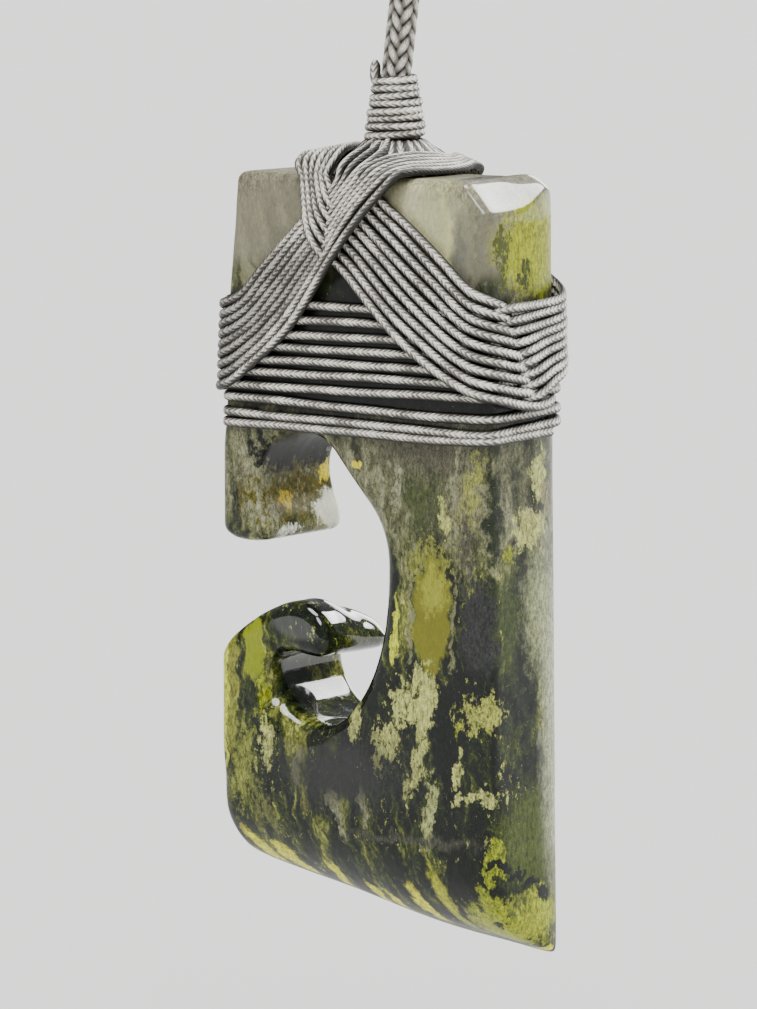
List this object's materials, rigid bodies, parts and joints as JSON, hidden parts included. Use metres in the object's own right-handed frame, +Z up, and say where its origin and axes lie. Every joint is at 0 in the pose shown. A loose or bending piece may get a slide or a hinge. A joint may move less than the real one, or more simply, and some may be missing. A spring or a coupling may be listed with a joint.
{
  "type": "koru pendant",
  "caption": "Greenstone koru pendant: a bevelled slab with a spiral cut-out, lashed at its head and hung from a plaited neck cord loop.",
  "frame": {"origin": "the top of the neck loop, on the underside of the cord, where it lies on a neck or hangs on a peg", "axes": "+Z up along the hanging pendant; -Y out of the carved front; +X to the right as the front is seen"},
  "size_m": [0.1156, 0.0162, 0.3823],
  "materials": {
    "greenstone": "high polish, satin at the head, mottled with lime and cream",
    "lashing_thread": "waxed braided thread with a silvery sheen",
    "plaited_cord": "waxed round plait"
  },
  "bodies": {
    "root": {"koru_stone": "greenstone", "wrap_turns": "lashing_thread", "front_left_bundle": "lashing_thread", "front_right_bundle": "lashing_thread", "front_loop": "lashing_thread", "rear_left_bundle": "lashing_thread", "rear_right_bundle": "lashing_thread", "rear_loop": "lashing_thread", "top_saddle": "lashing_thread", "whipping": "lashing_thread", "cord_stem": "plaited_cord", "leg_binding": "lashing_thread", "neck_cord": "plaited_cord"}
  },
  "joints": []
}
